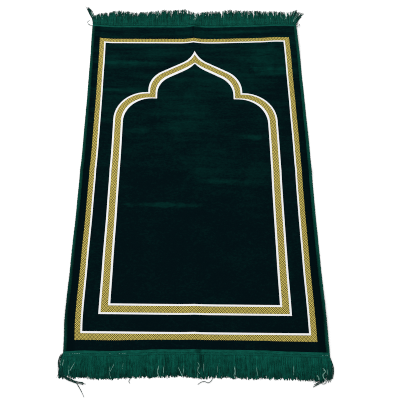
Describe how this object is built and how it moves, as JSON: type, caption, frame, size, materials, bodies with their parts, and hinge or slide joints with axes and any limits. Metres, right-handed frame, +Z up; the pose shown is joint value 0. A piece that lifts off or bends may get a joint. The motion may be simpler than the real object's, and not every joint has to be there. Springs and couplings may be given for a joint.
{
  "type": "prayer rug",
  "caption": "Velvet prayer rug with a pointed arch in gold and white bands, bound long edges and yarn fringes, lying flat with its fold creases.",
  "frame": {"origin": "on the floor under the middle of the rug, fringes included", "axes": "+Z up; +Y along the rug, towards the end where the arch points; +X across it"},
  "size_m": [0.7538, 1.2856, 0.0097],
  "materials": {
    "velvet": "short velvet pile, near-black green, with woven gold bands and white lines",
    "binding_tape": "matt green tape with close overlock stitches",
    "fringe_yarn": "slightly twisted deep green yarn with a soft gloss"
  },
  "bodies": {
    "root": {"rug_cloth": "velvet", "binding_left": "binding_tape", "binding_right": "binding_tape", "fringe_top": "fringe_yarn", "fringe_bottom": "fringe_yarn"}
  },
  "joints": []
}
